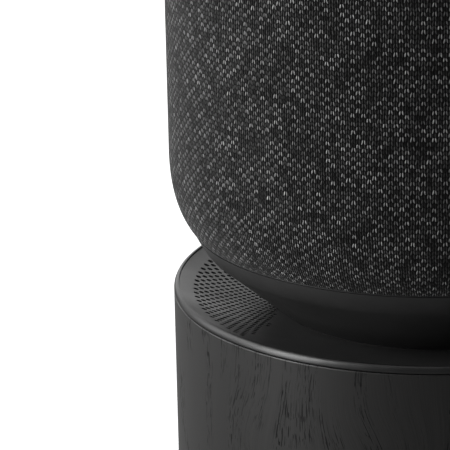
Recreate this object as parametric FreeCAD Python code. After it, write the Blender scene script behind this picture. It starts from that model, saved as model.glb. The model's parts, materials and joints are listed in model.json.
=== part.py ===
"""Two-part tabletop speaker hub: a fabric pod standing on a dished, wood-clad base.

Frame: origin on the table under the middle of the base, +Z up, front = -Y, millimetres.
"""
import FreeCAD, Part
import math
import os

os.makedirs("parts", exist_ok=True)

Vec = FreeCAD.Vector
UP = Vec(0, 0, 1)
ORIGIN = Vec(0, 0, 0)

# ---- driving dimensions ------------------------------------------------------------------
POD_R = 99.8             # fabric pod, outside
WOOD_R = 99.2            # wood-clad base, outside
TOTAL_H = 380.0
WOOD_TOP = 126.0         # upper edge of the wood
SHADOW_GAP = 0.4         # between the wood and the metal ring
FIT = 0.3                # clearance between neighbours that don't touch

WOOD_T = 6.0
FOOT_T = 3.0
PLATE_T = 3.5
TUB_T = 3.0
NECK_R = 58.0
NECK_T = 3.0
BAFFLE_HOLE = 47.0       # opening in front of a bass cone, radius
SKIN_T = 1.5             # deck dish wall
CONE_T = 2.0             # underside cone wall

RING_H = 3.0             # visible height of the metal ring, from the wood
RING_W = 1.9             # visible width of its top
SEAM_R = 92.0            # lower edge of the fabric
SEAM_H = 27.2            # ... above the wood
POD_CURVE_H = 56.0       # where the pod's side starts to curve in, above the wood
POD_BEND_H = 36.8        # height of that curve's control point, above the wood
CONE_R = 86.0            # the underside is a cone up to this radius, then it turns up
CONE_H = 17.6            # ... and this high above the wood there
CONE_SLOPE = 0.847       # rise of the cone per unit of radius
CONE_BEND_R = 88.2       # where the cone's line and the rim's line would cross
CONE_EDGE_R = 91.6
CONE_EDGE_H = 26.4
LIP_R = 91.3             # lip that holds the fabric's hem
DISH_FLAT_R = 59.0       # the deck is flat inside this radius and an arc outside it
DISH_FLAT_H = -5.83      # height of the flat above the wood
DISH_RADIUS = 94.0

FABRIC_T = 2.4
CORE_T = 2.9
TOP_ROUND = 9.0

BAFFLE_T = 3.0
LOWER_BAFFLE_Z = 96.0
UPPER_BAFFLE_Z = 126.0
FRAME_FLOOR_Z = 196.0
FRAME_SHELF_Z = 282.0
FRAME_TOP_Z = 356.0
PANEL_T = 4.0
PANEL_FACE = 80.0        # driver panels: distance of their outer face from the axis

RECESS_X = 40.0          # connector recess, half width
RECESS_Y0 = 14.0
RECESS_Y1 = 62.0
RECESS_Z = 26.0
CHANNEL_X = 8.0          # cable channel, half width
CHANNEL_Z = 12.0
WALL_T = 2.0


# ---- ways of making a solid --------------------------------------------------------------
def point(rz):
    return Vec(rz[0], 0, rz[1])


def lathe(start, *steps):
    """Turn a closed outline of (radius, height) points about Z.

    A step is a point, reached by a straight line, or ("arc", middle, end), or
    ("bend", control, end) for a quadratic curve."""
    edges = []
    here = start
    for step in steps + (start,):
        if step[0] == "arc":
            edges.append(Part.Arc(point(here), point(step[1]), point(step[2])).toShape())
            here = step[2]
        elif step[0] == "bend":
            curve = Part.BezierCurve()
            curve.setPoles([point(here), point(step[1]), point(step[2])])
            edges.append(curve.toShape())
            here = step[2]
        elif math.dist(here, step) > 1e-6:
            edges.append(Part.LineSegment(point(here), point(step)).toShape())
            here = step
    face = Part.Face(Part.Wire(edges))
    return face.revolve(ORIGIN, UP, 360).Solids[0]


def crown(apex, rim):
    """Arc step from an apex on the axis to a rim, or back, as part of a sphere about it."""
    sag = apex - rim[1]
    radius = (rim[0] ** 2 + sag ** 2) / (2 * sag)
    half = math.asin(rim[0] / radius) / 2
    return radius * math.sin(half), apex - radius * (1 - math.cos(half))


def ring(inner, outer, low, high):
    return lathe((inner, low), (outer, low), (outer, high), (inner, high))


def block(x0, x1, y0, y1, z0, z1):
    return Part.makeBox(x1 - x0, y1 - y0, z1 - z0, Vec(x0, y0, z0))


def rod(radius, x, y, low, high):
    return Part.makeCylinder(radius, high - low, Vec(x, y, low))


def on_circle(radius, degrees):
    angle = math.radians(degrees)
    return radius * math.cos(angle), radius * math.sin(angle)


def save(name, shape):
    solids = shape.Solids
    shape = solids[0] if len(solids) == 1 else Part.makeCompound(solids)
    if not shape.isValid():
        print("INVALID", name)
    shape.exportStep("parts/%s.step" % name)
    print("%-24s %3d solids %10.1f mm3" % (name, len(solids), shape.Volume))
    return shape


# ---- outlines that more than one piece follows -------------------------------------------
DISH_CENTRE_Z = WOOD_TOP + DISH_FLAT_H + DISH_RADIUS


def dish_height(r, depth=0.0):
    """Height of the deck at radius r, or of the surface a depth below it."""
    out = max(r - DISH_FLAT_R, 0.0)
    return DISH_CENTRE_Z - math.sqrt((DISH_RADIUS + depth) ** 2 - out ** 2)


def along_dish(start_r, end_r, depth):
    """Two points on that surface and the arc step from the first to the second."""
    middle_r = (start_r + end_r) / 2
    first, middle, last = [(r, dish_height(r, depth)) for r in (start_r, middle_r, end_r)]
    return first, ("arc", middle, last)


def cone_height(r):
    return WOOD_TOP + CONE_H + (r - CONE_R) * CONE_SLOPE


def pod_outline(inset):
    """Outer profile of the pod, moved inwards, from the seam up to the flat top."""
    r = POD_R - inset
    low = (SEAM_R - 0.85 * inset, WOOD_TOP + SEAM_H + 0.2 * inset)
    turn = (r, WOOD_TOP + POD_CURVE_H)
    bend = ("bend", (r, WOOD_TOP + POD_BEND_H + 0.3 * inset), turn)
    top = TOTAL_H - 3.0 - inset
    radius = TOP_ROUND
    middle = (r - radius * (1 - math.sin(math.radians(45))),
              top - radius * (1 - math.sin(math.radians(45))))
    return low, bend, (r, top - radius), ("arc", middle, (r - radius, top))


# ---- base: foot, plate, wood, tub --------------------------------------------------------
channel_cut = block(-CHANNEL_X, CHANNEL_X, RECESS_Y1 - 1, 120, -1, CHANNEL_Z)
SCREW_ANGLES = (35, 145, 200, 245, 295, 340)
SCREW_CIRCLE = 73.0

foot = ring(80, 90, 0, FOOT_T).cut(channel_cut)
save("foot_ring", foot)

plate_r = WOOD_R - WOOD_T - FIT
recess_box = block(-RECESS_X - WALL_T, RECESS_X + WALL_T, RECESS_Y0 - WALL_T,
                   RECESS_Y1 + WALL_T, FOOT_T, RECESS_Z + WALL_T)
channel_box = block(-CHANNEL_X - WALL_T, CHANNEL_X + WALL_T, RECESS_Y1, plate_r - 4,
                    FOOT_T, CHANNEL_Z + WALL_T)
plate = Part.makeCylinder(plate_r, PLATE_T, Vec(0, 0, FOOT_T))
plate = plate.fuse([recess_box, channel_box])
recess_cut = block(-RECESS_X, RECESS_X, RECESS_Y0, RECESS_Y1, -1, RECESS_Z)
PANEL_SLOT_Y = (RECESS_Y0 - WALL_T - 1, RECESS_Y0 + 1)
BUTTONS = {"pairing_button": (-27.0, 4.0), "reset_button": (27.0, 2.6)}
BUTTON_Y = 40.0
plate = plate.cut([recess_cut, channel_cut])
plate = plate.cut(block(-36, 36, PANEL_SLOT_Y[0], PANEL_SLOT_Y[1], 7.5, 24))
for x, r in BUTTONS.values():
    plate = plate.cut(rod(r + FIT, x, BUTTON_Y, RECESS_Z - 1, RECESS_Z + WALL_T + 1))
for angle in SCREW_ANGLES:
    x, y = on_circle(SCREW_CIRCLE, angle)
    plate = plate.cut([rod(1.6, x, y, 0, 10), rod(3.3, x, y, 0, FOOT_T + 1.8)])
save("base_plate", plate)

wood_in = WOOD_R - WOOD_T
REBATE_R = 98.1          # the metal ring's collar drops inside this radius
REBATE_Z = 118.8
EDGE = 0.35              # broken edge of the veneer
wood = lathe((wood_in, FOOT_T), (WOOD_R - EDGE, FOOT_T), (WOOD_R, FOOT_T + EDGE),
             (WOOD_R, WOOD_TOP - EDGE), (WOOD_R - EDGE, WOOD_TOP), (REBATE_R, WOOD_TOP),
             (REBATE_R, REBATE_Z), (wood_in, REBATE_Z))
save("wood_shell", wood.cut(channel_cut))

tub_out = wood_in - 0.2
tub_low = FOOT_T + PLATE_T
TUB_TOP = 112.0
LEDGE = 6.0
tub = lathe((64, tub_low), (tub_out, tub_low), (tub_out, TUB_TOP), (tub_out - TUB_T, TUB_TOP),
            (tub_out - TUB_T, LOWER_BAFFLE_Z), (tub_out - TUB_T - LEDGE, LOWER_BAFFLE_Z),
            (tub_out - TUB_T - LEDGE, LOWER_BAFFLE_Z - 3),
            (tub_out - TUB_T, LOWER_BAFFLE_Z - 3 - LEDGE), (tub_out - TUB_T, tub_low + 3),
            (64, tub_low + 3))
clear = WALL_T + FIT
tub = tub.cut([block(-RECESS_X - clear, RECESS_X + clear, 0, RECESS_Y1 + clear, 0, RECESS_Z + clear),
               block(-CHANNEL_X - clear, CHANNEL_X + clear, 50, 120, 0, CHANNEL_Z + clear)])
for angle in SCREW_ANGLES:
    x, y = on_circle(SCREW_CIRCLE, angle)
    tub = tub.cut(rod(1.5, x, y, 0, 20))
save("base_tub", tub)

screws = []
for angle in SCREW_ANGLES:
    x, y = on_circle(SCREW_CIRCLE, angle)
    head = rod(3.0, x, y, FOOT_T + 0.1, FOOT_T + 1.7)
    drive = Part.makeBox(1.2, 4.0, 0.9, Vec(x - 0.6, y - 2.0, FOOT_T))
    screws.append(head.fuse(rod(1.45, x, y, FOOT_T + 1.0, tub_low + 5)).cut(drive))
save("base_screws", Part.makeCompound(screws))

# ---- metal ring and perforated deck ------------------------------------------------------
bead_low = WOOD_TOP + SHADOW_GAP
bead_top = WOOD_TOP + RING_H
bead_in = WOOD_R - RING_W
COLLAR_IN = 95.3
COLLAR_OUT = 97.9
dip = dish_height(COLLAR_IN, SKIN_T) - 0.1
shoulder = dish_height(bead_in - 0.1, SKIN_T) - 0.1
save("trim_ring", lathe((WOOD_R, bead_low), (WOOD_R, bead_low + 1.0),
                        ("bend", (WOOD_R, bead_top), (bead_in + 0.3, bead_top)),
                        (bead_in, bead_top - 0.2), (bead_in, shoulder),
                        (COLLAR_IN, dip), (COLLAR_IN, REBATE_Z + 0.2),
                        (COLLAR_OUT, REBATE_Z + 0.2), (COLLAR_OUT, bead_low)))

DECK_IN = NECK_R + FIT
deck_out = bead_in - 0.1
deck = lathe((DECK_IN, dish_height(DECK_IN)), *along_dish(DISH_FLAT_R, deck_out, 0),
             *along_dish(deck_out, DISH_FLAT_R, SKIN_T), (DECK_IN, dish_height(DECK_IN, SKIN_T)))

HOLE_R = 1.05            # in the outermost row
HOLE_COLUMNS = 122       # per turn
HOLE_ROWS = 19
ROW_SHRINK = 0.9774      # each row's radius over that of the row outside it
LEAF_OUT = 0.915 * WOOD_R
LEAF_CX = -2.18 * WOOD_R
LEAF_R = 1.60 * WOOD_R


def leaf_holes():
    """Centre and radius of each hole of the left leaf: staggered polar rows, kept inside
    a lens between the outer circle and an arc that bulges towards the axis."""
    holes = []
    for row in range(HOLE_ROWS):
        r = LEAF_OUT * ROW_SHRINK ** row
        for column in range(-HOLE_COLUMNS // 4, HOLE_COLUMNS // 4):
            turn = (column + 0.5 * ((row + 1) % 2)) * 2 * math.pi / HOLE_COLUMNS
            x, y = -r * math.cos(turn), r * math.sin(turn)
            if math.hypot(x - LEAF_CX, y) < LEAF_R:
                holes.append((x, y, HOLE_R * (r / LEAF_OUT) ** 0.75))
    return holes


drills = []
for x, y, r in leaf_holes():
    drills.append(rod(r, x, y, 100, WOOD_TOP + 4))
    drills.append(rod(r, -x, y, 100, WOOD_TOP + 4))
deck = deck.cut(Part.makeCompound(drills))
save("deck_dish", deck)
print("deck holes", len(drills))

CLOTH_R = (59.2, 93.0)
cloth = lathe(*along_dish(CLOTH_R[0], CLOTH_R[1], SKIN_T + 0.1),
              *along_dish(CLOTH_R[1], CLOTH_R[0], SKIN_T + 0.9))
LEAF_HALF = 52           # degrees each side of the X axis
wedge = [Part.makeCylinder(120, 60, Vec(0, 0, 90), UP, 2 * LEAF_HALF) for side in (0, 1)]
wedge[0].rotate(ORIGIN, UP, -LEAF_HALF)
wedge[1].rotate(ORIGIN, UP, 180 - LEAF_HALF)
save("port_cloth", Part.makeCompound([cloth.common(w) for w in wedge]))

# ---- neck, cone and the two bass baffles -------------------------------------------------
neck_in = NECK_R - NECK_T
neck_low = LOWER_BAFFLE_Z + BAFFLE_T
neck = ring(neck_in, NECK_R, neck_low, UPPER_BAFFLE_Z)
WINDOWS = 8              # let the sound out under the deck
WINDOW_HALF = 16
WINDOW_TOP = 116.0
for turn in range(WINDOWS):
    window = block(neck_in - 5, NECK_R + 5, -WINDOW_HALF, WINDOW_HALF, neck_low + 2, WINDOW_TOP)
    window.rotate(ORIGIN, UP, (turn + 0.5) * 360 / WINDOWS)
    neck = neck.cut(window)
save("neck_duct", neck)

wall = CONE_T * math.hypot(1, CONE_SLOPE)
CONE_IN = NECK_R + 1.3
cone_edge_z = WOOD_TOP + CONE_EDGE_H
CONE_RIM = 3.0           # width of the flat on top of its rim
save("underside_cone", lathe((CONE_IN, cone_height(CONE_IN)), (CONE_R, cone_height(CONE_R)),
                             ("bend", (CONE_BEND_R, cone_height(CONE_BEND_R)),
                              (CONE_EDGE_R, cone_edge_z)),
                             (CONE_EDGE_R - CONE_RIM, cone_edge_z),
                             (CONE_R - CONE_RIM, cone_height(CONE_R - CONE_RIM) + wall),
                             (CONE_IN, cone_height(CONE_IN) + wall)))
lip_low = cone_edge_z + 0.1
lip_high = WOOD_TOP + SEAM_H - 0.2
LIP_W = 4.3
save("fabric_lip_ring", ring(LIP_R - LIP_W, LIP_R, lip_low, lip_high))

SCREW_R = 1.2
SCREW_HEAD_R = 1.9
BASS_SCREW_CIRCLE = 54.0


def bass_screw_spots():
    return [on_circle(BASS_SCREW_CIRCLE, 45 + 90 * i) for i in range(4)]


def baffle(outer, low):
    plate = ring(BAFFLE_HOLE, outer, low, low + BAFFLE_T)
    return plate.cut([rod(SCREW_R + 0.1, x, y, low - 1, low + 4) for x, y in bass_screw_spots()])


save("lower_baffle", baffle(tub_out - TUB_T - 0.2, LOWER_BAFFLE_Z))
save("upper_baffle", baffle(61, UPPER_BAFFLE_Z))


# ---- loudspeaker drivers -----------------------------------------------------------------
class Driver:
    """A loudspeaker that fires along +Z, with the front of its flange at height 0."""

    def __init__(self, flange, mouth, cone, coil, depth, magnet, magnet_t, travel, screws):
        self.flange = flange          # outer radius of the flange
        self.mouth = mouth            # inner radius of the flange
        self.cone = cone              # outer radius of the cone
        self.coil = coil              # voice coil radius
        self.depth = depth            # flange front to the basket's floor
        self.magnet_r = magnet
        self.magnet_t = magnet_t
        self.travel = travel
        self.screws = screws          # radius of the screw circle

    def basket(self):
        floor = -self.depth
        wide, seat = self.mouth, self.magnet_r * 0.9
        shape = lathe((wide, 0), (self.flange, 0), (self.flange, -2.2), (wide + 1.5, -2.2),
                      (wide + 1.0, -5), (seat + 1.5, floor - 2), (self.coil + 2.5, floor - 2),
                      (self.coil + 2.5, floor), (seat, floor), (wide - 0.6, -5), (wide, -2.2))
        for turn in range(6):
            gap = block(seat + 2.0, self.flange, -self.coil * 0.55, self.coil * 0.55,
                        floor + 2, -6)
            gap.rotate(ORIGIN, UP, turn * 60)
            shape = shape.cut(gap)
        for turn in range(4):
            x, y = on_circle(self.screws, 45 + 90 * turn)
            shape = shape.cut(rod(SCREW_R + 0.1, x, y, -4, 1))
        return shape

    def magnet(self):
        top = -self.depth - 2.0
        groove = self.travel + 6
        low = top - self.magnet_t
        pole = self.coil - 1.0
        slot = self.coil + 1.0
        return lathe((0, low), (self.magnet_r - 1, low), (self.magnet_r - 1, low + 3),
                     (self.magnet_r, low + 3), (self.magnet_r, top - 3),
                     (self.magnet_r - 1, top - 3), (self.magnet_r - 1, top), (slot, top),
                     (slot, top - groove), (pole, top - groove), (pole, top), (0, top))

    def diaphragm(self):
        former_low = -self.depth - 2.0 - 5.0
        join = -self.depth * 0.52
        rim = -1.6
        skin = 0.7
        c = self.coil
        top = join + c * 0.32
        inner_rim = (c - 0.35, join - 0.8)
        return lathe((0, top), ("arc", crown(top, (c, join)), (c, join)),
                     (self.cone, rim), (self.cone + 0.8, rim), (self.cone + 0.8, rim - skin),
                     (self.cone, rim - skin), (c + 0.35, join - 1.4), (c + 0.35, former_low),
                     (c - 0.35, former_low), inner_rim,
                     ("arc", crown(top - skin, inner_rim), (0, top - skin)))

    def surround(self):
        inner, outer = self.cone + 1.0, self.mouth - 0.1
        middle = (inner + outer) / 2
        reach = (outer - inner) / 2
        low = -2.0
        return lathe((inner, low), ("arc", (middle, low + reach), (outer, low)),
                     (outer - 0.6, low), ("arc", (middle, low + reach - 0.6), (inner + 0.6, low)))

    def spider(self):
        """Corrugated ring between the former and the basket's wall."""
        level = -self.depth + 5
        inner, outer = self.coil + 0.6, self.magnet_r * 0.9 - 1.5
        waves = 8
        step = (outer - inner) / waves
        upper = [(inner + i * step, level + (0.5 if i % 2 else -0.5)) for i in range(waves + 1)]
        lower = [(r, z - 0.6) for r, z in reversed(upper)]
        return lathe(*(upper + lower))

    def fasteners(self, grip):
        return [rod(SCREW_R, *on_circle(self.screws, 45 + 90 * i), -3.6, grip).fuse(
            rod(SCREW_HEAD_R, *on_circle(self.screws, 45 + 90 * i), -3.8, -2.2)) for i in range(4)]


def place(shape, at, heading, lift):
    """Turn a driver from +Z to its heading, then move its flange to a point.

    lift is the heading's angle above the horizontal; heading is measured from +X."""
    shape = shape.copy()
    shape.rotate(ORIGIN, Vec(0, 1, 0), 90 - lift)
    shape.rotate(ORIGIN, UP, heading)
    shape.translate(at)
    return shape


bass = Driver(flange=58, mouth=46.5, cone=36.5, coil=16, depth=34, magnet=33, magnet_t=15,
              travel=6, screws=BASS_SCREW_CIRCLE)
mid = Driver(flange=39, mouth=33, cone=26.5, coil=10, depth=24, magnet=22, magnet_t=13,
             travel=3, screws=36.9)
small = Driver(flange=28, mouth=22, cone=17.5, coil=7, depth=16, magnet=15, magnet_t=10,
               travel=2, screws=25.6)

PANEL_BACK = PANEL_FACE - PANEL_T
MID_Z = 240.0
SMALL_Z = 320.0
REAR_HEADINGS = {"rear_left_driver": 140.0, "rear_right_driver": 40.0}


def against_panel(heading, height):
    x, y = on_circle(PANEL_BACK, heading)
    return Vec(x, y, height)


SEATS = {
    "lower_woofer": (bass, Vec(0, 0, LOWER_BAFFLE_Z), 0, 90, BAFFLE_T),
    "upper_woofer": (bass, Vec(0, 0, UPPER_BAFFLE_Z + BAFFLE_T), 0, -90, BAFFLE_T),
    "left_driver": (mid, against_panel(180, MID_Z), 180, 0, PANEL_T),
    "right_driver": (mid, against_panel(0, MID_Z), 0, 0, PANEL_T),
}
for seat_name, heading in REAR_HEADINGS.items():
    SEATS[seat_name] = (small, against_panel(heading, SMALL_Z), heading, 0, PANEL_T)

fasteners = []
for name, (driver, at, heading, lift, grip) in SEATS.items():
    save(name + "_basket", place(driver.basket(), at, heading, lift))
    save(name + "_magnet", place(driver.magnet(), at, heading, lift))
    save(name + "_cone", place(driver.diaphragm(), at, heading, lift))
    save(name + "_surround", place(driver.surround(), at, heading, lift))
    if driver is bass:
        save(name + "_spider", place(driver.spider(), at, heading, lift))
    for screw in driver.fasteners(grip - 0.2):
        fasteners.append(place(screw, at, heading, lift))
save("driver_screws", Part.makeCompound(fasteners))

# Tweeter: a soft dome in a round face plate, let into the front panel.
DOME_R = 10.0
tweeter_at = against_panel(-90, SMALL_Z)
face_plate = ring(DOME_R + 1.2, 26, -3, 0)
motor = lathe((0, -17), (15, -17), (15, -3.2), (DOME_R + 1.0, -3.2), (DOME_R + 1.0, -7),
              (DOME_R - 1.0, -7), (DOME_R - 1.0, -4.2), (0, -4.2))
dome_rim, dome_under = (DOME_R, -2.4), (DOME_R - 0.5, -2.4)
dome = lathe((0, 1.6), ("arc", crown(1.6, dome_rim), dome_rim), (DOME_R, -5.5),
             (DOME_R - 0.5, -5.5), dome_under, ("arc", crown(1.1, dome_under), (0, 1.1)))
for name, shape in (("tweeter_plate", face_plate), ("tweeter_motor", motor), ("tweeter_dome", dome)):
    save(name, place(shape, tweeter_at, -90, 0))

# ---- pod: inner frame, core, fabric ------------------------------------------------------
CORE_GAP = 0.45          # room for the hem and the stretch between the fabric and the core
core_in = POD_R - FABRIC_T - CORE_T - CORE_GAP
FRAME_R = core_in - 0.3


def panel(heading, half, low, high, height, hole):
    """Flat driver panel at a heading, with a round hole and four screw holes."""
    slab = block(PANEL_BACK, PANEL_FACE, -half, half, low, high)
    slab = slab.cut(Part.makeCylinder(hole, 20, Vec(PANEL_BACK - 8, 0, height), Vec(1, 0, 0)))
    slab.rotate(ORIGIN, UP, heading)
    return slab


def screw_bores(driver, at, heading):
    bores = [rod(SCREW_R + 0.1, *on_circle(driver.screws, 45 + 90 * i), -1, PANEL_T + 1)
             for i in range(4)]
    return [place(bore, at, heading, 0) for bore in bores]


frame = Part.makeCylinder(FRAME_R, 3, Vec(0, 0, FRAME_FLOOR_Z))
frame = frame.fuse([ring(56, FRAME_R, FRAME_SHELF_Z, FRAME_SHELF_Z + 3),
                    panel(180, 45, FRAME_FLOOR_Z + 1, FRAME_SHELF_Z + 1, MID_Z, mid.mouth),
                    panel(0, 45, FRAME_FLOOR_Z + 1, FRAME_SHELF_Z + 1, MID_Z, mid.mouth),
                    panel(-90, 34, FRAME_SHELF_Z + 1, FRAME_TOP_Z, SMALL_Z, DOME_R + 3)]
                   + [panel(h, 31, FRAME_SHELF_Z + 1, FRAME_TOP_Z, SMALL_Z, small.mouth)
                      for h in REAR_HEADINGS.values()])
for name, (driver, at, heading, lift, grip) in SEATS.items():
    if driver is not bass:
        frame = frame.cut(screw_bores(driver, at, heading))
save("driver_frame", frame)

SOUND_HOLES = [(180, MID_Z, 36), (0, MID_Z, 36), (-90, SMALL_Z, 20)]
SOUND_HOLES += [(heading, SMALL_Z, 24) for heading in REAR_HEADINGS.values()]
low_o, bend_o = pod_outline(FABRIC_T + CORE_GAP)[:2]
low_i, bend_i = pod_outline(FABRIC_T + CORE_GAP + CORE_T)[:2]
CORE_TOP = TOTAL_H - 12.0
core = lathe(low_o, bend_o, (bend_o[2][0], CORE_TOP), (80, CORE_TOP), (80, CORE_TOP - 3),
             (bend_i[2][0], CORE_TOP - 3), bend_i[2], ("bend", bend_i[1], low_i))
for heading, height, r in SOUND_HOLES:
    x, y = on_circle(60, heading)
    core = core.cut(Part.makeCylinder(r, 60, Vec(x, y, height), Vec(x, y, 0)))
save("pod_core", core)

low_s, bend_s, side_s, arc_s = pod_outline(0.0)
low_t, bend_t, side_t, arc_t = pod_outline(FABRIC_T)
save("fabric_sleeve", lathe(low_s, bend_s, side_s, arc_s, arc_t[2],
                            ("arc", arc_t[1], side_t), bend_t[2], ("bend", bend_t[1], low_t)))

# ---- top: ring, touch disc, light guide, board -------------------------------------------
fabric_end = arc_t[2][0]                     # inner edge of the fabric on top of the pod
TOP_RING_OUT = arc_s[2][0] + 1.4
TOP_RING_IN = 84.5
lip_z = TOTAL_H - 2.9
save("top_trim_ring", lathe((TOP_RING_IN, CORE_TOP + 0.1), (fabric_end - FIT, CORE_TOP + 0.1),
                            (fabric_end - FIT, lip_z), (TOP_RING_OUT, lip_z),
                            (TOP_RING_OUT, lip_z + 0.9),
                            ("bend", (TOP_RING_OUT, TOTAL_H), (TOP_RING_OUT - 2.4, TOTAL_H)),
                            (TOP_RING_IN + 0.5, TOTAL_H), (TOP_RING_IN, TOTAL_H - 0.5)))
DISC_R = TOP_RING_IN - 0.25
disc_rim = (DISC_R, TOTAL_H - 1.2)
save("touch_disc", lathe((0, TOTAL_H - 4.6), (DISC_R, TOTAL_H - 4.2), disc_rim,
                         ("arc", crown(TOTAL_H - 2.6, disc_rim), (0, TOTAL_H - 2.6))))
save("light_guide", ring(79.5, 83.0, CORE_TOP + 0.2, TOTAL_H - 4.7))
board = ring(8, 76, CORE_TOP + 0.8, CORE_TOP + 2.4)
chips = [block(-30, -14, -9, 9, CORE_TOP + 2.4, CORE_TOP + 4.0),
         block(16, 30, -6, 8, CORE_TOP + 2.4, CORE_TOP + 3.8)]
chips += [Part.makeBox(3, 3, 1, Vec(*on_circle(70, 60 * i), CORE_TOP + 2.4)) for i in range(6)]
save("touch_board", board.fuse(chips))

# ---- electronics -------------------------------------------------------------------------
AMP_Y = 36.0
amp = block(-38, 38, AMP_Y, AMP_Y + 1.6, 204, 276)
amp_parts = [block(-30, -12, AMP_Y - 6, AMP_Y, 214, 232), block(10, 30, AMP_Y - 5, AMP_Y, 216, 234)]
amp_parts += [Part.makeCylinder(4, 11, Vec(-24 + 16 * i, AMP_Y + 0.2, 262), Vec(0, -1, 0))
              for i in range(4)]
save("amp_board", amp.fuse(amp_parts))

FINS = 12
sink = [block(-36, 36, AMP_Y + 1.8, AMP_Y + 5, 206, 274)]
for i in range(FINS):
    x = -36 + i * (72 - 1.4) / (FINS - 1)
    sink.append(block(x, x + 1.4, AMP_Y + 4, AMP_Y + 22, 206, 274))
save("heatsink", sink[0].fuse(sink[1:]))

SUPPLY_Z = 30.0
supply = block(-48, 48, -66, 6, SUPPLY_Z, SUPPLY_Z + 1.6)
supply_parts = [block(-34, -6, -52, -26, SUPPLY_Z + 1.6, SUPPLY_Z + 13),
                block(8, 22, -60, -40, SUPPLY_Z + 1.6, SUPPLY_Z + 12)]
supply_parts += [rod(5, -30 + 15 * i, -8, SUPPLY_Z + 1.6, SUPPLY_Z + 13) for i in range(5)]
save("power_supply_board", supply.fuse(supply_parts))

MAIN_Z = 32.0
logic = block(-38, 38, 16, 66, MAIN_Z, MAIN_Z + 1.6)
logic_parts = [block(-12, 8, 30, 50, MAIN_Z + 1.6, MAIN_Z + 3.8),
               block(-30, -18, 28, 42, MAIN_Z + 1.6, MAIN_Z + 4.4),
               block(14, 34, 44, 60, MAIN_Z + 1.6, MAIN_Z + 4.6)]
save("main_board", logic.fuse(logic_parts))

# ---- connector panel with its sockets and buttons ----------------------------------------
panel_y = RECESS_Y0 - WALL_T - 0.2
SOCKET_Z = 15.5
MAINS_X, ETHERNET_X, LINE_X = -22.0, 3.0, 24.0


def figure_eight(x, r, half, y0, y1, z):
    """Rounded bar: two cylinders along Y, half apart from the middle, and the web between."""
    shapes = [Part.makeCylinder(r, y1 - y0, Vec(x + s * half, y0, z), Vec(0, 1, 0)) for s in (-1, 1)]
    return shapes[0].fuse([shapes[1], block(x - half, x + half, y0, y1, z - r, z + r)])


inlet_out = figure_eight(MAINS_X, 5.6, 4.3, panel_y - 14, panel_y + 2.2, SOCKET_Z)
inlet_cut = figure_eight(MAINS_X, 4.3, 4.3, panel_y - 11, panel_y + 9, SOCKET_Z)
jack_box = block(ETHERNET_X - 8, ETHERNET_X + 8, panel_y - 16, panel_y + 2.2,
                 SOCKET_Z - 7.5, SOCKET_Z + 6.5)
jack_cut = block(ETHERNET_X - 5.9, ETHERNET_X + 5.9, panel_y - 12, panel_y + 9,
                 SOCKET_Z - 4, SOCKET_Z + 4.3)
latch_cut = block(ETHERNET_X - 3, ETHERNET_X + 3, panel_y - 12, panel_y + 9,
                  SOCKET_Z - 6, SOCKET_Z - 3.5)
LINE_R = 1.8
line_box = block(LINE_X - 5, LINE_X + 5, panel_y - 14, panel_y, SOCKET_Z - 5, SOCKET_Z + 5)
line_nose = Part.makeCylinder(3.6, 2.2, Vec(LINE_X, panel_y, SOCKET_Z), Vec(0, 1, 0))
line_bore = Part.makeCylinder(LINE_R, 30, Vec(LINE_X, panel_y - 12, SOCKET_Z), Vec(0, 1, 0))

back_panel = block(-35.5, 35.5, panel_y, panel_y + 1.8, 8, 23.5)
SLIP = 0.1               # room round each socket in the panel
back_panel = back_panel.cut([
    figure_eight(MAINS_X, 5.6 + SLIP, 4.3, panel_y - 2, panel_y + 4, SOCKET_Z),
    block(ETHERNET_X - 8 - SLIP, ETHERNET_X + 8 + SLIP, panel_y - 2, panel_y + 4,
          SOCKET_Z - 7.5 - SLIP, SOCKET_Z + 6.5 + SLIP),
    Part.makeCylinder(3.6 + SLIP, 8, Vec(LINE_X, panel_y - 2, SOCKET_Z), Vec(0, 1, 0))])
save("connector_panel", back_panel)
pins = [Part.makeCylinder(1.2, 9, Vec(MAINS_X + s * 4.3, panel_y - 12, SOCKET_Z), Vec(0, 1, 0))
        for s in (-1, 1)]
save("mains_inlet", inlet_out.cut(inlet_cut).fuse(pins))
save("ethernet_jack", jack_box.cut([jack_cut, latch_cut]))
save("line_in_jack", line_box.fuse(line_nose).cut(line_bore))

for name, (x, r) in BUTTONS.items():
    stem = rod(r, x, BUTTON_Y, RECESS_Z - 1.0, MAIN_Z - 1.0)
    flange = rod(r + 1.2, x, BUTTON_Y, RECESS_Z + WALL_T + 0.05, RECESS_Z + WALL_T + 1.2)
    save(name, stem.fuse(flange))
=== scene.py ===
"""Looks of a two-part tabletop speaker hub: a knitted drum floating over a dished wooden base."""
import json
import math

import bpy
import numpy as np
from mathutils import Matrix, Vector


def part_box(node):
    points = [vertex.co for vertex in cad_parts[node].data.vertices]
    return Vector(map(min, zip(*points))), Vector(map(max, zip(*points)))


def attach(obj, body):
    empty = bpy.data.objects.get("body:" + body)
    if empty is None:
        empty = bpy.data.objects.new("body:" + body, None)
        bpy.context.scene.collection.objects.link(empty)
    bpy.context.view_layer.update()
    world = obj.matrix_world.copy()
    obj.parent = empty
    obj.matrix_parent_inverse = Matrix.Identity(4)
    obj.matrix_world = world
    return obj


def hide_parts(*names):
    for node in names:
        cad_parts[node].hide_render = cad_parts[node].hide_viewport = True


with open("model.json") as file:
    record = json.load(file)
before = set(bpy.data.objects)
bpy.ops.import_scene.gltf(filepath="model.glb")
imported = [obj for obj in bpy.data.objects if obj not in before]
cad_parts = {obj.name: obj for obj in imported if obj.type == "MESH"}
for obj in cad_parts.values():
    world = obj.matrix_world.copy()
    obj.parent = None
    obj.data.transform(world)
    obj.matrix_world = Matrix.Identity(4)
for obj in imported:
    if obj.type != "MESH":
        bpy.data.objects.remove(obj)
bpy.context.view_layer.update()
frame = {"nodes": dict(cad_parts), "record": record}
MM = 0.001
HOUSING = "housing"

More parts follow.
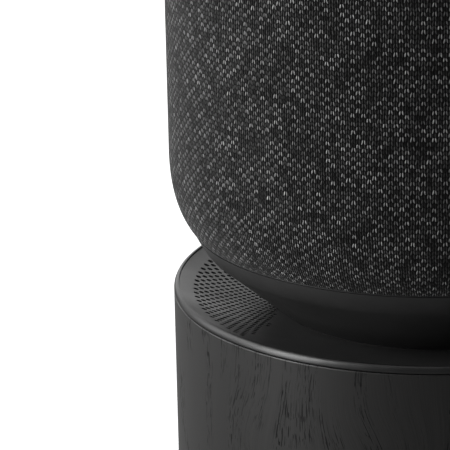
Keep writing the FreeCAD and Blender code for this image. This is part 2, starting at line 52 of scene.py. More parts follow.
# ---- Camera -------------------------------------------------------------------------------
# A long lens, looking a little down on the left half of the hub, close enough that the waist
# between the two drums fills the lower part of the picture.
base_low, base_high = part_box("wood_shell")
BASE_R = (base_high[0] - base_low[0]) / 2
WOOD_TOP = base_high[2]
LENS = 247.7
PITCH = math.radians(18.4)
TURN = math.radians(3.82)
REACH = 11.97 * BASE_R
AIM_LIFT = 0.234 * BASE_R
aim = Vector((0, 0, WOOD_TOP + AIM_LIFT))
eye = aim + Vector((0, -REACH * math.cos(PITCH), REACH * math.sin(PITCH)))
view = bpy.data.cameras.new("camera")
view.lens = LENS
camera = bpy.data.objects.new("camera", view)
camera.matrix_world = (Matrix.Translation(eye) @ Matrix.Rotation(math.pi / 2 - PITCH, 4, "X")
                       @ Matrix.Rotation(TURN, 4, "Y"))
bpy.context.scene.collection.objects.link(camera)
bpy.context.scene.camera = camera


# ---- Studio -------------------------------------------------------------------------------
# A white paper floor and soft boxes: a bright strip and a wide weaker box on the left, a white
# wall behind, and a weak one overhead. The paper looks white but throws little light back.
def add(tree, kind, inputs=None, **settings):
    """One shader node. settings are its properties; inputs are socket values or links."""
    node = tree.nodes.new("ShaderNode" + kind)
    for key, value in settings.items():
        setattr(node, key, value)
    for key, value in (inputs or {}).items():
        if isinstance(value, bpy.types.NodeSocket):
            tree.links.new(value, node.inputs[key])
        else:
            node.inputs[key].default_value = value
    return node


def soft_box(name, radiance, size, place, target):
    """An area light of the given size, whose face shines with that radiance."""
    light = bpy.data.lights.new(name, "AREA")
    light.shape = "RECTANGLE"
    light.size, light.size_y = size
    light.energy = radiance * math.pi * size[0] * size[1]
    lamp = bpy.data.objects.new(name, light)
    lamp.location = place
    lamp.rotation_euler = (Vector(target) - Vector(place)).to_track_quat("-Z", "Y").to_euler()
    bpy.context.scene.collection.objects.link(lamp)


MIDDLE = (0, 0, 0.2)
STAND_OFF = 1.2          # metres from the hub to the boxes on the left


def beside(degrees, height):
    """A place at the stand-off, that many degrees round from the front towards the left."""
    turn = math.radians(degrees)
    return -STAND_OFF * math.sin(turn), -STAND_OFF * math.cos(turn), height


soft_box("left_strip", 7.0, (0.5, 1.1), beside(63, 0.55), MIDDLE)
soft_box("left_fill", 2.4, (0.6, 1.1), beside(104, 0.55), MIDDLE)
soft_box("back_wall", 1.25, (2.6, 1.5), (-0.35, 1.7, 0.75), MIDDLE)
soft_box("top_box", 0.5, (1.2, 1.2), (-0.3, -0.2, 1.7), MIDDLE)

world = bpy.data.worlds.new("studio")
world.use_nodes = True
sky = world.node_tree
sky.nodes.clear()
seen = add(sky, "LightPath").outputs["Is Camera Ray"]
dim = add(sky, "Background", {"Color": (1, 1, 1, 1), "Strength": 0.04}).outputs[0]
white = add(sky, "Background", {"Color": (1, 1, 1, 1), "Strength": 1.05}).outputs[0]
sky_mix = add(sky, "MixShader", {0: seen, 1: dim, 2: white}).outputs[0]
add(sky, "OutputWorld", {"Surface": sky_mix})
bpy.context.scene.world = world
bpy.context.scene.view_settings.view_transform = "Standard"

FLOOR_HALF = 6.0
FLOOR_DROP = 0.2 * MM    # keeps the paper clear of the foot
corners = [(x * FLOOR_HALF, y * FLOOR_HALF, -FLOOR_DROP) for x, y in ((-1, -1), (1, -1), (1, 1), (-1, 1))]
paper = bpy.data.meshes.new("floor")
paper.from_pydata(corners, [], [(0, 1, 2, 3)])
floor = bpy.data.objects.new("floor", paper)
bpy.context.scene.collection.objects.link(floor)
sheet_mat = bpy.data.materials.new("white_paper")
sheet_mat.use_nodes = True
tree = sheet_mat.node_tree
tree.nodes.clear()
dull = add(tree, "BsdfDiffuse", {"Color": (0.3, 0.3, 0.3, 1)}).outputs[0]
bright = add(tree, "BsdfDiffuse", {"Color": (0.8, 0.8, 0.8, 1)}).outputs[0]
glow = add(tree, "Emission", {"Color": (1, 1, 1, 1), "Strength": 0.8}).outputs[0]
lit = add(tree, "AddShader", {0: bright, 1: glow}).outputs[0]
camera_ray = add(tree, "LightPath").outputs["Is Camera Ray"]
paper_mix = add(tree, "MixShader", {0: camera_ray, 1: dull, 2: lit}).outputs[0]
add(tree, "OutputMaterial", {"Surface": paper_mix})
floor.data.materials.append(sheet_mat)


# ---- Wooden wall of the base --------------------------------------------------------------
# A ring of ash veneer, stained black and oiled, with open pores that run up the wall. It is
# bent round the tub, its edges are broken by hand, and the back has a slot for the leads.
TURN_STEPS = 288
CRISP = math.radians(40)  # edges sharper than this aren't shaded smooth


def group(name, inputs, outputs):
    """A shader node group with named float or vector sockets: its tree, entry and exit."""
    made = bpy.data.node_groups.new(name, "ShaderNodeTree")
    for label, kind, value in inputs:
        socket = made.interface.new_socket(label, in_out="INPUT", socket_type="NodeSocket" + kind)
        if value is not None:
            socket.default_value = value
    for label, kind in outputs:
        made.interface.new_socket(label, in_out="OUTPUT", socket_type="NodeSocket" + kind)
    return made, made.nodes.new("NodeGroupInput").outputs, made.nodes.new("NodeGroupOutput").inputs


def calc(tree, operation, *values):
    """A Math node's result."""
    inputs = dict(enumerate(values))
    return add(tree, "Math", inputs, operation=operation).outputs[0]


def ramp(tree, value, low, high, to_low=0.0, to_high=1.0, smooth=True):
    """value, mapped from low..high to to_low..to_high and held at the ends."""
    kind = "SMOOTHSTEP" if smooth else "LINEAR"
    inputs = {"Value": value, "From Min": low, "From Max": high, "To Min": to_low, "To Max": to_high}
    return add(tree, "MapRange", inputs, interpolation_type=kind).outputs[0]


def blend(tree, factor, a, b):
    """Colour a, going to colour b as factor goes from 0 to 1."""
    node = add(tree, "Mix", data_type="RGBA")
    for socket, value in zip((node.inputs[0], node.inputs[6], node.inputs[7]), (factor, a, b)):
        if isinstance(value, bpy.types.NodeSocket):
            tree.links.new(value, socket)
        else:
            socket.default_value = value
    return node.outputs[2]


def grey(value, warm=0.0):
    """A neutral colour; warm lifts red and lowers blue by that share."""
    return (value * (1 + warm), value, value * (1 - warm), 1)


def finish_with(name, **plain):
    """A material with one Principled shader, whose plain sockets are set by name."""
    made = bpy.data.materials.new(name)
    made.use_nodes = True
    tree = made.node_tree
    shader = tree.nodes["Principled BSDF"]
    for label, value in plain.items():
        shader.inputs[label.replace("_", " ")].default_value = value
    return made, tree, shader.inputs


def make_piece(name, points, faces, finish, uv, replaced):
    """A mesh object at the origin that rides on the housing and stands for CAD nodes.

    uv holds one pair for each corner, or is None."""
    mesh = bpy.data.meshes.new(name)
    mesh.from_pydata(points.tolist(), [], [tuple(f) for f in faces])
    mesh.update()
    mesh.polygons.foreach_set("use_smooth", np.ones(len(mesh.polygons), bool))
    mesh.set_sharp_from_angle(angle=CRISP)
    if uv is not None:
        mesh.uv_layers.new(name="UVMap").data.foreach_set("uv", np.ravel(uv))
    made = bpy.data.objects.new(name, mesh)
    bpy.context.scene.collection.objects.link(made)
    made.data.materials.append(finish)
    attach(made, HOUSING)
    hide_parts(*replaced)
    return made


def carried(profile, angle):
    """Each point (r, z) of a profile at each angle about Z, one row of angles to a point."""
    r, z = np.array(profile).T
    return np.stack([np.outer(r, np.cos(angle)), np.outer(r, np.sin(angle)),
                     np.repeat(z[:, None], len(angle), 1)], -1).reshape(-1, 3)


def turned(profile):
    """Points and faces of a closed profile of (r, z), turned about Z.

    The profile runs with the material on its left. A point on the axis becomes one pole."""
    turn = np.arange(TURN_STEPS)
    after = (turn + 1) % TURN_STEPS
    pole = np.array(profile)[:, 0] < 1e-9
    faces = []
    for i in range(len(profile)):
        j = (i + 1) % len(profile)
        low, high = i * TURN_STEPS, j * TURN_STEPS
        if pole[i] and pole[j]:
            continue
        if pole[i]:
            corners = [turn * 0 + low, high + after, high + turn]
        elif pole[j]:
            corners = [low + turn, low + after, turn * 0 + high]
        else:
            corners = [low + turn, low + after, high + after, high + turn]
        faces += np.stack(corners, -1).tolist()
    return carried(profile, turn * 2 * math.pi / TURN_STEPS), faces


def arc(centre, radius, start, end, count, stretch=1.0):
    """Points of a circle's arc in (r, z), angles in degrees; stretch scales its height."""
    angle = np.radians(np.linspace(start, end, count))
    return np.stack([centre[0] + radius * np.cos(angle),
                     centre[1] + radius * stretch * np.sin(angle)], -1).tolist()


WOOD_WALL = 6.0 * MM
REBATE_R = 98.1 * MM
REBATE_Z = 118.8 * MM
WOOD_EDGE = 0.45 * MM
EDGE_ROW = 0.2 * MM      # a row this far below the broken edge keeps the wall's shading straight
UP_ROWS = 9
SLOT_HALF = 8.0 * MM
SLOT_TOP = 12.0 * MM
SLOT_COLUMNS = 5


def wooden_wall():
    """A profile carried round the axis on a grid of columns. The faces of the columns over the
    slot start at its top, and flat faces close the slot's three sides."""
    half = math.asin(SLOT_HALF / BASE_R)
    start = math.pi / 2 + half
    end = start + 2 * math.pi
    angle = np.concatenate([np.linspace(start, end - 2 * half, TURN_STEPS + 1),
                            np.linspace(end - 2 * half, end, SLOT_COLUMNS + 1)[1:]])
    low, top, inner = base_low[2], WOOD_TOP, BASE_R - WOOD_WALL
    outer = [(BASE_R - WOOD_EDGE, low), (BASE_R, low + WOOD_EDGE)]
    outer += [(BASE_R, z) for z in np.linspace(SLOT_TOP, top - WOOD_EDGE - EDGE_ROW, UP_ROWS)]
    outer.append((BASE_R, top - WOOD_EDGE))
    outer += arc((BASE_R - WOOD_EDGE, top - WOOD_EDGE), WOOD_EDGE, 30, 90, 3)
    inside = [(REBATE_R, top), (REBATE_R, REBATE_Z), (inner, REBATE_Z), (inner, SLOT_TOP), (inner, low)]
    profile = np.array(outer + inside)
    rows, columns = len(profile), len(angle) - 1
    points = carried(profile, angle[:-1])
    length = np.concatenate([[0], np.cumsum(np.hypot(*np.diff(profile, axis=0, append=profile[:1]).T))])
    row, column = [side.ravel() for side in np.meshgrid(np.arange(rows), np.arange(columns), indexing="ij")]
    below_slot_top = (row < 2) | (row >= rows - 2)
    kept = ~(below_slot_top & (column >= TURN_STEPS))
    row, column = row[kept], column[kept]
    corner_rows = np.stack([row, row, row + 1, row + 1], 1)
    corner_columns = np.stack([column, column + 1, column + 1, column], 1)
    quads = (corner_rows % rows) * columns + corner_columns % columns
    uv = np.stack([angle[corner_columns] * BASE_R, length[corner_rows]], -1).reshape(-1, 2)
    faces = quads.tolist()
    over = np.arange(TURN_STEPS, columns)
    beside = (over + 1) % columns
    roof = np.stack([2 * columns + over, (rows - 2) * columns + over,
                     (rows - 2) * columns + beside, 2 * columns + beside], -1)
    faces += roof.tolist()
    cheek = np.array([0, 1, 2, rows - 2, rows - 1]) * columns
    faces += [(cheek[::-1] + TURN_STEPS).tolist(), cheek.tolist()]
    depth = np.hypot(points[:, 0], points[:, 1])
    for face in faces[len(quads):]:
        uv = np.concatenate([uv, np.stack([depth[face], points[face, 2]], -1)])
    return points, faces, uv / MM


# Millimetres: the grain swings to and fro over long stretches; pores are two sorts of dashes,
# wide and long, each with the noise levels where it begins and is full; bands; fine lines.
SWAY_SCALE = 0.013
SWAY = 30.0
DASHES = ((0.60, 9.0, 0.64, 0.69), (0.42, 4.0, 0.67, 0.72))
BAND = (9.0, 70.0)
LINE = (0.3, 40.0)


def streaks(tree, across, along, size, detail):
    """Noise in cells of that many millimetres across and along."""
    cell = add(tree, "CombineXYZ", {"X": calc(tree, "DIVIDE", across, size[0]),
                                    "Y": calc(tree, "DIVIDE", along, size[1])}).outputs[0]
    return add(tree, "TexNoise", {"Vector": cell, "Scale": 1.0, "Detail": detail},
               noise_dimensions="2D").outputs[0]


def pores():
    """Open pores: short dark dashes along the grain, thick in some bands and thin in others,
    which lean where the grain swings. Coordinates are millimetres across and along."""
    made, given, out = group("open_pores", [("Across", "Float", 0), ("Along", "Float", 0),
                                            ("Density", "Float", 0.5)],
                             [("Pores", "Float"), ("Grain", "Float")])
    place = add(made, "CombineXYZ", {"X": given["Across"], "Y": given["Along"]}).outputs[0]
    sway = add(made, "TexNoise", {"Vector": place, "Scale": SWAY_SCALE, "Detail": 1.0},
               noise_dimensions="2D").outputs[0]
    swing = calc(made, "MULTIPLY", calc(made, "SUBTRACT", sway, 0.5), SWAY)
    across = calc(made, "ADD", given["Across"], swing)
    masks = [ramp(made, streaks(made, across, given["Along"], size, 0.6), low, high)
             for *size, low, high in DASHES]
    bands = streaks(made, across, given["Along"], BAND, 2.0)
    thick = ramp(made, bands, calc(made, "SUBTRACT", 0.9, given["Density"]),
                 calc(made, "SUBTRACT", 1.1, given["Density"]))
    made.links.new(calc(made, "MULTIPLY", calc(made, "MAXIMUM", *masks), thick), out["Pores"])
    lines = streaks(made, across, given["Along"], LINE, 3.0)
    made.links.new(lines, out["Grain"])
    return made


PORES = pores()


def use(tree, made, inputs):
    """A node group placed in a material, with its values and links."""
    node = tree.nodes.new("ShaderNodeGroup")
    node.node_tree = made
    for key, value in inputs.items():
        if isinstance(value, bpy.types.NodeSocket):
            tree.links.new(value, node.inputs[key])
        else:
            node.inputs[key].default_value = value
    return node.outputs


def stained_ash():
    """Black stain that lies thinner on the hard bands, nearly black pores, and a satin oil whose
    film is broken over the pores."""
    made, tree, sockets = finish_with("stained_ash", Specular_IOR_Level=0.35, Coat_Roughness=0.41)
    cloth = add(tree, "UVMap", uv_map="UVMap").outputs[0]
    parts = add(tree, "SeparateXYZ", {0: cloth}).outputs
    wood = use(tree, PORES, {"Across": parts[0], "Along": parts[1], "Density": 0.42})
    stain = ramp(tree, wood["Grain"], 0.3, 0.7, smooth=False)
    colour = blend(tree, stain, grey(0.010, 0.02), grey(0.021, 0.03))
    colour = blend(tree, wood["Pores"], colour, grey(0.002))
    tree.links.new(colour, sockets["Base Color"])
    shine = calc(tree, "ADD", ramp(tree, wood["Grain"], 0.2, 0.8, 0.38, 0.45, False),
                 calc(tree, "MULTIPLY", wood["Pores"], 0.35))
    tree.links.new(shine, sockets["Roughness"])
    tree.links.new(ramp(tree, wood["Pores"], 0.0, 1.0, 0.80, 0.0, False), sockets["Coat Weight"])
    depth = calc(tree, "SUBTRACT", calc(tree, "MULTIPLY", wood["Grain"], 0.02), wood["Pores"])
    bump = add(tree, "Bump", {"Strength": 1.0, "Distance": 0.00012, "Height": depth}).outputs[0]
    tree.links.new(bump, sockets["Normal"])
    return made


points, faces, uv = wooden_wall()
make_piece("wood_wall", points, faces, stained_ash(), uv, ["wood_shell"])


# ---- Metal ring on the base ---------------------------------------------------------------
# A ring of black anodised aluminium, fine-blasted, that stands 0.4 mm off the wood. Its top
# rolls over to the deck's rim, and its collar drops into the wood's rebate.
def micro_grain():
    """Fine surface grain and slow mottling on Object coordinates, in grains per metre."""
    made, given, out = group("micro_grain", [("Vector", "Vector", None), ("Scale", "Float", 4000.0)],
                             [("Height", "Float"), ("Mottle", "Float")])
    fine = add(made, "TexNoise", {"Vector": given["Vector"], "Scale": given["Scale"],
                                  "Detail": 2.0}).outputs[0]
    slow = add(made, "TexNoise", {"Vector": given["Vector"], "Scale": 45.0, "Detail": 4.0}).outputs[0]
    made.links.new(fine, out["Height"])
    made.links.new(slow, out["Mottle"])
    return made


GRAIN = micro_grain()


def grained(name, dark, light, roughness, depth, scale=4000.0, spread=0.06, **plain):
    """A material of one tone, slightly mottled, with a fine grain of the given depth."""
    made, tree, sockets = finish_with(name, **plain)
    at = add(tree, "TexCoord").outputs["Object"]
    grain = use(tree, GRAIN, {"Vector": at, "Scale": scale})
    tone = ramp(tree, grain["Mottle"], 0.3, 0.7, smooth=False)
    tree.links.new(blend(tree, tone, dark, light), sockets["Base Color"])
    tree.links.new(ramp(tree, grain["Mottle"], 0.3, 0.7, roughness - spread, roughness + spread, False),
                   sockets["Roughness"])
    bump = add(tree, "Bump", {"Strength": 1.0, "Distance": depth, "Height": grain["Height"]})
    tree.links.new(bump.outputs[0], sockets["Normal"])
    return made


RING_W = 1.9 * MM
RING_H = 3.0 * MM
SHADOW_GAP = 0.4 * MM
COLLAR_IN = 95.3 * MM
COLLAR_OUT = 97.9 * MM
ring_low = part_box("trim_ring")[0]
bead_low = WOOD_TOP + SHADOW_GAP
bead_in = BASE_R - RING_W
bead_top = WOOD_TOP + RING_H
ring_profile = [(BASE_R - 0.15 * MM, bead_low)]
ring_profile += arc((bead_in + 0.3 * MM, bead_low + 0.15 * MM), RING_W - 0.3 * MM, 0, 90, 16,
                    (RING_H - SHADOW_GAP - 0.15 * MM) / (RING_W - 0.3 * MM))
ring_profile += [(bead_in + 0.05 * MM, bead_top - 0.1 * MM), (bead_in, bead_top - 0.35 * MM),
                 (bead_in, bead_low + 0.2 * MM), (COLLAR_IN, bead_low - 1.4 * MM),
                 (COLLAR_IN, ring_low[2]), (COLLAR_OUT, ring_low[2]), (COLLAR_OUT, bead_low)]
blasted = grained("black_anodised", grey(0.075), grey(0.095), 0.40, 0.000012, 5200.0,
                  Metallic=0.9, Specular_IOR_Level=0.5)
points, faces = turned(ring_profile)
make_piece("metal_ring", points, faces, blasted, None, ["trim_ring"])


# ---- Perforated deck ----------------------------------------------------------------------
# A dished moulding inside the metal ring. Two leaf-shaped fields of small holes, one on each
# side, let the bass out; their rows follow circles about the axis and are staggered.
FLAT_R = 59.0 * MM
FLAT_Z = WOOD_TOP - 5.83 * MM
DISH_RADIUS = 94.0 * MM
DECK_SKIN = 1.5 * MM
DECK_IN = 58.3 * MM
DECK_OUT = bead_in - 0.1 * MM
HOLE_R = 1.05 * MM
COLUMNS = 122
HOLE_ROWS = 19
EDGE_STEPS = 6           # points along a hole's cell, across the row; half of it is the stagger
ROW_SHRINK = 0.9774
OUTER_RINGS = 8          # plain rings outside and inside the field
INNER_RINGS = 4
LEAF_OUT = 0.915 * BASE_R
LEAF_CX = -2.18 * BASE_R
LEAF_R = 1.60 * BASE_R


def dish(r):
    """Height of the deck: flat inside FLAT_R, and an arc that starts level outside it."""
    return FLAT_Z + DISH_RADIUS - np.sqrt(DISH_RADIUS ** 2 - np.maximum(r - FLAT_R, 0) ** 2)


def perforated_deck():
    """The deck is rings of points on circles about the axis. Between two rings of the field,
    each cell is a brick, shifted by half its width on every other row; a hole's cell is a band
    of quads from the brick's outline to the hole's circle. The underside is a copy below."""
    around = COLUMNS * EDGE_STEPS
    field = LEAF_OUT / math.sqrt(ROW_SHRINK) * ROW_SHRINK ** np.arange(HOLE_ROWS + 1)
    step = np.arange(around) * 2 * math.pi / around
    rims = np.concatenate([np.linspace(DECK_OUT, field[0], OUTER_RINGS + 1)[:-1], field,
                           np.linspace(field[-1], DECK_IN, INNER_RINGS + 1)[1:]])
    ring_points = np.stack([np.outer(rims, np.cos(step)), np.outer(rims, np.sin(step))], -1)
    top = [ring_points.reshape(-1, 2)]
    total = len(rims) * around
    faces = []
    spot = np.arange(around)
    beside = (spot + 1) % around
    plain = [i for i in range(len(rims) - 1) if not OUTER_RINGS <= i < OUTER_RINGS + HOLE_ROWS]
    for i in plain:
        faces += np.stack([i * around + spot, i * around + beside,
                           (i + 1) * around + beside, (i + 1) * around + spot], -1).tolist()
    walls = []
    quarter = np.linspace(-45, 45, EDGE_STEPS + 1)
    spread = np.radians(np.concatenate([quarter, [90], quarter + 180, [270]]))
    for row in range(HOLE_ROWS):
        outer_ring = OUTER_RINGS + row
        r = LEAF_OUT * ROW_SHRINK ** row
        shift = 0 if row % 2 == 0 else -(EDGE_STEPS // 2)
        start = np.arange(COLUMNS) * EDGE_STEPS + shift
        sides = np.stack([r * np.cos(start * 2 * math.pi / around),
                          r * np.sin(start * 2 * math.pi / around)], -1)
        side = total + np.arange(COLUMNS)
        top.append(sides)
        total += COLUMNS
        along = (start[:, None] + np.arange(EDGE_STEPS + 1)) % around
        brick = np.concatenate([outer_ring * around + along, np.roll(side, -1)[:, None],
                                (outer_ring + 1) * around + along[:, ::-1], side[:, None]], 1)
        middle = (start + EDGE_STEPS / 2) * 2 * math.pi / around
        centre = np.stack([r * np.cos(middle), r * np.sin(middle)], -1)
        holed = np.hypot(np.abs(centre[:, 0]) * -1 - LEAF_CX, centre[:, 1]) < LEAF_R
        faces += brick[~holed].tolist()
        size = HOLE_R * (r / LEAF_OUT) ** 0.75
        outline = brick[holed]
        spin = middle[holed][:, None] + spread
        circle = np.stack([np.cos(spin), np.sin(spin)], -1)
        top.append((centre[holed][:, None] + size * circle).reshape(-1, 2))
        rim = total + np.arange(outline.size).reshape(outline.shape)
        total += outline.size
        after = np.roll(rim, -1, 1)
        band = np.stack([outline, np.roll(outline, -1, 1), after, rim], -1)
        faces += band.reshape(-1, 4).tolist()
        walls.append(np.stack([rim, after], -1).reshape(-1, 2))
    flat = np.concatenate(top)
    height = dish(np.hypot(flat[:, 0], flat[:, 1]))
    upper = np.column_stack([flat, height])
    lower = np.column_stack([flat, height - DECK_SKIN])
    below = [tuple(v + total for v in face[::-1]) for face in faces]
    walls.append(np.stack([beside, spot], -1))
    last = (len(rims) - 1) * around
    walls.append(np.stack([last + spot, last + beside], -1))
    edges = np.concatenate(walls)
    sides = np.stack([edges[:, 0], edges[:, 1], edges[:, 1] + total, edges[:, 0] + total], -1).tolist()
    return np.concatenate([upper, lower]), faces + below + sides


points, faces = perforated_deck()
satin_black = grained("satin_black_moulding", grey(0.040), grey(0.048), 0.40, 0.000010, 6000.0,
                      Specular_IOR_Level=0.5)
make_piece("perforated_deck", points, faces, satin_black, None, ["deck_dish"])

# ---- Underside cone -----------------------------------------------------------------------
# The moulding under the fabric drum: a smooth cone that runs down into the waist and turns up at
# its rim to meet the fabric.
cone_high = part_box("underside_cone")[1]
CONE_EDGE = cone_high[0]
CONE_TURN_R = 86.0 * MM
CONE_TURN_Z = WOOD_TOP + 17.6 * MM
CONE_SLOPE = 0.847
CONE_BEND_R = 88.2 * MM  # where the straight line and the rim's line would cross
CONE_IN = 59.3 * MM
CONE_SKIN = 2.6 * MM
CONE_RIM = 3.0 * MM


def cone_at(r):
    """Height of the cone's straight part at a radius."""
    return CONE_TURN_Z + (r - CONE_TURN_R) * CONE_SLOPE


def curve(start, control, end, count):
    """Points of a quadratic curve in (r, z), without its first."""
    t = np.linspace(0, 1, count + 1)[1:, None]
    start, control, end = np.array(start), np.array(control), np.array(end)
    return ((1 - t) ** 2 * start + 2 * t * (1 - t) * control + t ** 2 * end).tolist()


cone_profile = [(r, cone_at(r)) for r in np.linspace(CONE_IN, CONE_TURN_R, 10)]
cone_profile += curve(cone_profile[-1], (CONE_BEND_R, cone_at(CONE_BEND_R)),
                      (CONE_EDGE, cone_high[2]), 10)
inner_bend = CONE_TURN_R - CONE_RIM
cone_profile += [(CONE_EDGE - CONE_RIM, cone_high[2]), (inner_bend, cone_at(inner_bend) + CONE_SKIN),
                 (CONE_IN, cone_at(CONE_IN) + CONE_SKIN)]
points, faces = turned(cone_profile)
make_piece("waist_cone", points, faces, satin_black, None, ["underside_cone"])

# ---- Lip under the fabric -----------------------------------------------------------------
# A thin moulded ring that clamps the lower edge of the fabric, just inside it.
lip_low, lip_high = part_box("fabric_lip_ring")
LIP_OUT = lip_high[0]
LIP_DEPTH = 5 * MM
LIP_BREAK = 0.1 * MM
lip_profile = [(LIP_OUT - LIP_DEPTH, lip_low[2]), (LIP_OUT - LIP_BREAK, lip_low[2]),
               (LIP_OUT, lip_low[2] + LIP_BREAK), (LIP_OUT, lip_high[2] - LIP_BREAK),
               (LIP_OUT - LIP_BREAK, lip_high[2]), (LIP_OUT - LIP_DEPTH, lip_high[2])]
points, faces = turned(lip_profile)
make_piece("fabric_lip", points, faces, satin_black, None, ["fabric_lip_ring"])

# ---- Fabric sleeve ------------------------------------------------------------------------
# A tube of fine warp-knit polyester, black with light grey filaments in it, pulled tight over
# the drum. Its hems are tucked under the top ring and behind the lip.
pod_low, pod_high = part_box("fabric_sleeve")
POD_R = (pod_high[0] - pod_low[0]) / 2
SEAM_R = 92.0 * MM
CURVE_H = 56.0 * MM
CONTROL_H = 36.8 * MM
TOP_ROUND = 9.0 * MM
LEG = 0.95               # millimetres: width of one leg of a stitch
COURSE = 1.6             # millimetres: height of one row of stitches
HEM = 2.2 * MM
HEM_IN = 2.0 * MM        # how far the hems go in, and a point (in, up or down) of their folds
HEM_FOLD = (0.9 * MM, 0.5 * MM)
TUCK_IN = 2.2 * MM
TUCK_FOLD = (1.2 * MM, 0.4 * MM)
SLEEVE_STEPS = 360
WALL_ROWS = 40


def sleeve():
    """A profile from the lower hem, up the side and over the shoulder to the upper hem, turned
    about Z as one open sheet, with stitch counts for its map."""
    seam = [SEAM_R, pod_low[2]]
    bend = curve(seam, (POD_R, WOOD_TOP + CONTROL_H), (POD_R, WOOD_TOP + CURVE_H), 27)
    hem = [(SEAM_R - HEM_IN, pod_low[2] + HEM), (SEAM_R - HEM_FOLD[0], pod_low[2] + HEM_FOLD[1])]
    wall = [(POD_R, z) for z in np.linspace(WOOD_TOP + CURVE_H, pod_high[2] - TOP_ROUND, WALL_ROWS + 1)[1:]]
    brow = POD_R - TOP_ROUND
    shoulder = arc((brow, pod_high[2] - TOP_ROUND), TOP_ROUND, 0, 90, 16)[1:]
    tuck = [(brow - TUCK_FOLD[0], pod_high[2] - TUCK_FOLD[1]), (brow - TUCK_IN, pod_high[2] - HEM)]
    profile = np.array(hem + [seam] + bend + wall + shoulder + tuck)
    count = SLEEVE_STEPS
    points = carried(profile, np.arange(count) * 2 * math.pi / count - math.pi / 2)
    k = np.arange(count)
    m = (k + 1) % count
    faces = np.concatenate([np.stack([i * count + k, i * count + m, (i + 1) * count + m,
                                      (i + 1) * count + k], -1) for i in range(len(profile) - 1)])
    legs = 2 * round(math.pi * POD_R / MM / LEG)
    length = np.concatenate([[0], np.cumsum(np.hypot(*np.diff(profile, axis=0).T))])
    uv_rows = length / MM / COURSE
    i, col = np.divmod(np.arange(len(faces)), count)
    left, right = col * legs / count, (col + 1) * legs / count
    uv = np.stack([np.stack([left, right, right, left], 1),
                   np.stack([uv_rows[i], uv_rows[i], uv_rows[i + 1], uv_rows[i + 1]], 1)], -1)
    return points, faces, uv.reshape(-1, 2), float(length[-1])


# In widths and heights of a leg: how far the yarn strays, how far a leg leans, half its oval.
WANDER = 0.7
LEAN = 0.28
LEG_HALF = (0.26, 0.52)
# The light in a leg: its pair's share of the chance, slow patches, pairs that hide their light
# yarn, and the power that spreads the chance.
PAIR_SHARE = 0.6
PATCHES = 0.3
HIDDEN = 0.85
LIGHT_POWER = 1.5


def knit():
    """A knitted face as pairs of legs that lean together at their tops, each leg a slim oval.
    Light yarn comes to the face in every second pair, as on a chequer board, and it runs
    through some pairs more than others: a power of a random number."""
    made, given, out = group("knit", [("Stitches", "Vector", None)],
                             [("Height", "Float"), ("Light", "Float")])
    parts = add(made, "SeparateXYZ", {0: given["Stitches"]}).outputs
    wander = add(made, "TexNoise", {"Vector": given["Stitches"], "Scale": 0.3, "Detail": 1.0},
                 noise_dimensions="2D").outputs[0]
    stray = calc(made, "MULTIPLY", calc(made, "SUBTRACT", wander, 0.5), WANDER)
    across = calc(made, "ADD", parts[0], stray)
    leg = calc(made, "FLOOR", across)
    pair = calc(made, "FLOOR", calc(made, "DIVIDE", leg, 2.0))
    x = calc(made, "SUBTRACT", calc(made, "FRACT", across), 0.5)
    odd = calc(made, "FLOORED_MODULO", leg, 2.0)
    side = calc(made, "SUBTRACT", calc(made, "MULTIPLY", odd, 2.0), 1.0)
    along = calc(made, "ADD", parts[1], stray)
    row = calc(made, "FLOOR", along)
    y = calc(made, "SUBTRACT", calc(made, "FRACT", along), 0.5)
    leaning = calc(made, "ADD", x, calc(made, "MULTIPLY", calc(made, "MULTIPLY", side, y), LEAN))
    wide = calc(made, "DIVIDE", leaning, LEG_HALF[0])
    tall = calc(made, "DIVIDE", y, LEG_HALF[1])
    far = calc(made, "ADD", calc(made, "MULTIPLY", wide, wide), calc(made, "MULTIPLY", tall, tall))
    made.links.new(calc(made, "SQRT", calc(made, "MAXIMUM", calc(made, "SUBTRACT", 1.0, far), 0.0)),
                   out["Height"])
    stitch = add(made, "CombineXYZ", {"X": pair, "Y": row}).outputs[0]
    pair_chance = add(made, "TexWhiteNoise", {"Vector": stitch}, noise_dimensions="2D").outputs[0]
    cell = add(made, "CombineXYZ", {"X": leg, "Y": row}).outputs[0]
    leg_chance = add(made, "TexWhiteNoise", {"Vector": cell}, noise_dimensions="2D").outputs[0]
    patches = add(made, "TexNoise", {"Vector": stitch, "Scale": 0.16, "Detail": 1.0},
                  noise_dimensions="2D").outputs[0]
    mixed = calc(made, "ADD", calc(made, "MULTIPLY", pair_chance, PAIR_SHARE),
                 calc(made, "MULTIPLY", leg_chance, 1 - PAIR_SHARE))
    lift = calc(made, "MULTIPLY", calc(made, "SUBTRACT", patches, 0.5), PATCHES)
    share = calc(made, "MAXIMUM", calc(made, "ADD", mixed, lift), 0.0)
    hidden = calc(made, "FLOORED_MODULO", calc(made, "ADD", pair, row), 2.0)
    shown = calc(made, "SUBTRACT", 1.0, calc(made, "MULTIPLY", hidden, HIDDEN))
    made.links.new(calc(made, "MULTIPLY", calc(made, "POWER", share, LIGHT_POWER), shown), out["Light"])
    return made


def melange():
    """Black yarn with light filaments; the gaps between the legs are darkened nearly to black with painted
    shade.
    """
    made, tree, sockets = finish_with("melange_knit", Roughness=0.9, Specular_IOR_Level=0.2,
                                      Sheen_Weight=0.2, Sheen_Roughness=0.4)
    at = add(tree, "UVMap", uv_map="UVMap").outputs[0]
    stitches = use(tree, knit(), {"Stitches": at})
    yarn = blend(tree, stitches["Light"], grey(0.002), grey(0.68))
    # Painted shade: the colour goes nearly black towards the low edges of each leg, where the gaps between
    # the legs lie.
    painted_gap_shade = ramp(tree, stitches["Height"], 0.0, 0.7, 0.0, 1.0, False)
    tree.links.new(blend(tree, painted_gap_shade, grey(0.001), yarn), sockets["Base Color"])
    bump = add(tree, "Bump", {"Strength": 1.0, "Distance": 0.0004, "Height": stitches["Height"]})
    tree.links.new(bump.outputs[0], sockets["Normal"])
    return made


